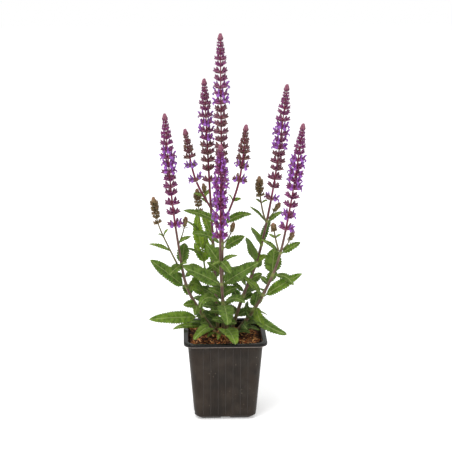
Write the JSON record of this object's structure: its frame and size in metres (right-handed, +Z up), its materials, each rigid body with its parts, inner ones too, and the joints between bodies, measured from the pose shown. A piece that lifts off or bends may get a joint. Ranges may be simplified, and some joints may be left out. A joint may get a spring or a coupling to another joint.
{
  "type": "potted sage",
  "caption": "Woodland sage in flower: upright purple spikes on slender stems with wrinkled green leaves, growing in a small square black ribbed nursery pot.",
  "frame": {"origin": "centre of the pot's foot, on the surface that the pot stands on", "axes": "+Z up, along the plant's height; -Y is the side that the shortest flower spike leans to; +X is the side that the two outermost stems lean to"},
  "size_m": [0.1667, 0.1025, 0.414],
  "materials": {
    "pot": "thin black thermoformed polypropylene, satin, dusty, with fine raised ribs and a smoother rim",
    "potting_mix": "coarse red-brown bark and coir fibre over dark peat, rough and loose",
    "crown": "woody yellow-brown root crown with bark and old stem bases",
    "stem": "square herbaceous stem, mauve-brown with paler green hairy edges, burgundy towards the flowers, swollen at the leaf nodes",
    "flower_spike": "whorls of burgundy calyces with violet two-lipped flowers, pinkish buds at the tip, finely hairy",
    "young_shoot": "thin green-brown stalk with an olive and pink head of closed buds",
    "leaf": "matt wrinkled green leaf with a net of sunken veins, a pale midrib, round-toothed edges and a paler underside"
  },
  "bodies": {
    "root": {"nursery_pot": "pot", "potting_mix": "potting_mix", "root_crown": "crown", "stem_tall": "stem", "spike_tall": "flower_spike", "stem_rear": "stem", "spike_rear": "flower_spike", "stem_left": "stem", "spike_left": "flower_spike", "stem_front": "stem", "spike_front": "flower_spike", "stem_right": "stem", "spike_right": "flower_spike", "stem_far_right": "stem", "spike_far_right": "flower_spike", "branch_left": "stem", "spike_branch_left": "flower_spike", "branch_right": "stem", "spike_branch_right": "flower_spike", "shoot_left": "young_shoot", "shoot_back": "young_shoot", "shoot_right": "young_shoot", "shoot_far_right": "young_shoot", "leaf_left_1": "leaf", "leaf_left_2": "leaf", "leaf_left_3": "leaf", "leaf_left_4": "leaf", "leaf_front_1": "leaf", "leaf_front_2": "leaf", "leaf_front_3": "leaf", "leaf_front_4": "leaf", "leaf_front_5": "leaf", "leaf_front_6": "leaf", "leaf_front_7": "leaf", "leaf_tall_1": "leaf", "leaf_tall_2": "leaf", "leaf_tall_3": "leaf", "leaf_tall_4": "leaf", "leaf_tall_5": "leaf", "leaf_tall_6": "leaf", "leaf_rear_1": "leaf", "leaf_rear_2": "leaf", "leaf_rear_3": "leaf", "leaf_right_1": "leaf", "leaf_right_2": "leaf", "leaf_right_3": "leaf", "leaf_right_4": "leaf", "leaf_right_5": "leaf", "leaf_right_6": "leaf", "leaf_far_right_1": "leaf", "leaf_far_right_2": "leaf", "leaf_far_right_3": "leaf", "leaf_far_right_4": "leaf", "leaf_far_right_5": "leaf", "leaf_far_right_6": "leaf", "leaf_far_right_7": "leaf", "leaf_far_right_8": "leaf", "leaf_basal_1": "leaf", "leaf_basal_2": "leaf", "leaf_basal_3": "leaf"}
  },
  "joints": []
}
